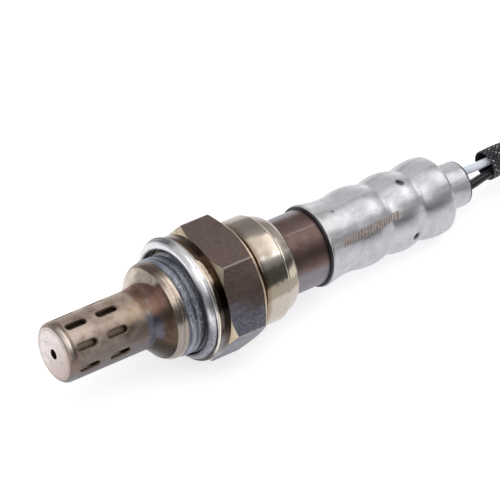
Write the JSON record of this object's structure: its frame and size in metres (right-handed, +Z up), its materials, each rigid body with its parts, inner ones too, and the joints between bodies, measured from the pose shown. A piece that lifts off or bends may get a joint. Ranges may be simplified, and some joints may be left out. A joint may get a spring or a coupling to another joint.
{
  "type": "heated oxygen sensor",
  "caption": "Threaded exhaust gas sensor with a hexagon body, a captive gasket, a slotted probe tube, a ribbed steel sleeve and a folded braided lead ending in a plug.",
  "frame": {"origin": "middle of the sensor's footprint on the surface that it lies on, with the lead left out", "axes": "+X from the slotted probe towards the lead, along the sensor's axis as seen from above, +Z up. The axis itself slopes 4.7 degrees down towards the lead, because the sensor lies on its hexagon and its last rib"},
  "size_m": [0.2784, 0.0406, 0.0232],
  "materials": {
    "shield_steel": "satin, heat tinted tan",
    "body_steel": "matte dark oxide, gold where turned",
    "gasket_steel": "bright",
    "casing_steel": "satin plum brown",
    "sleeve_steel": "bright satin",
    "spring_steel": "plain",
    "black_seal": "satin black",
    "ceramic": "fired ceramic",
    "talc": "pressed powder",
    "contact_metal": "plated spring metal",
    "filter": "porous white",
    "black_rubber": "dull black",
    "white_insulation": "slightly bluish white",
    "black_insulation": "glossy black",
    "grey_insulation": "glossy grey",
    "braid": "black braid with pale flecks",
    "tie_plastic": "black",
    "plug_plastic": "dark grey",
    "lock_plastic": "off white",
    "seal_rubber": "rust orange silicone"
  },
  "bodies": {
    "root": {"outer_shield": "shield_steel", "inner_shield": "shield_steel", "sensing_element": "ceramic", "element_washer": "spring_steel", "talc_packing": "talc", "support_bush": "ceramic", "lock_ring": "spring_steel", "hex_shell": "body_steel", "gasket": "gasket_steel", "heater_rod": "ceramic", "inner_contact": "contact_metal", "outer_contact": "contact_metal", "heater_contacts": "contact_metal", "casing_tube": "casing_steel", "terminal_insulator": "ceramic", "disc_spring": "spring_steel", "crimp_terminals": "contact_metal", "seal_ring": "black_seal", "vent_filter": "filter", "ribbed_sleeve": "sleeve_steel", "wire_grommet": "black_rubber", "wire_white_near": "white_insulation", "wire_white_far": "white_insulation", "wire_black": "black_insulation", "wire_grey": "grey_insulation", "braid_run": "braid", "braid_hank": "braid", "braid_tail": "braid", "hank_tie": "tie_plastic", "wire_boot": "black_rubber", "connector_housing": "plug_plastic", "connector_wire_seal": "seal_rubber", "connector_nose_seal": "seal_rubber", "terminal_lock": "lock_plastic", "connector_terminals": "contact_metal"}
  },
  "joints": []
}
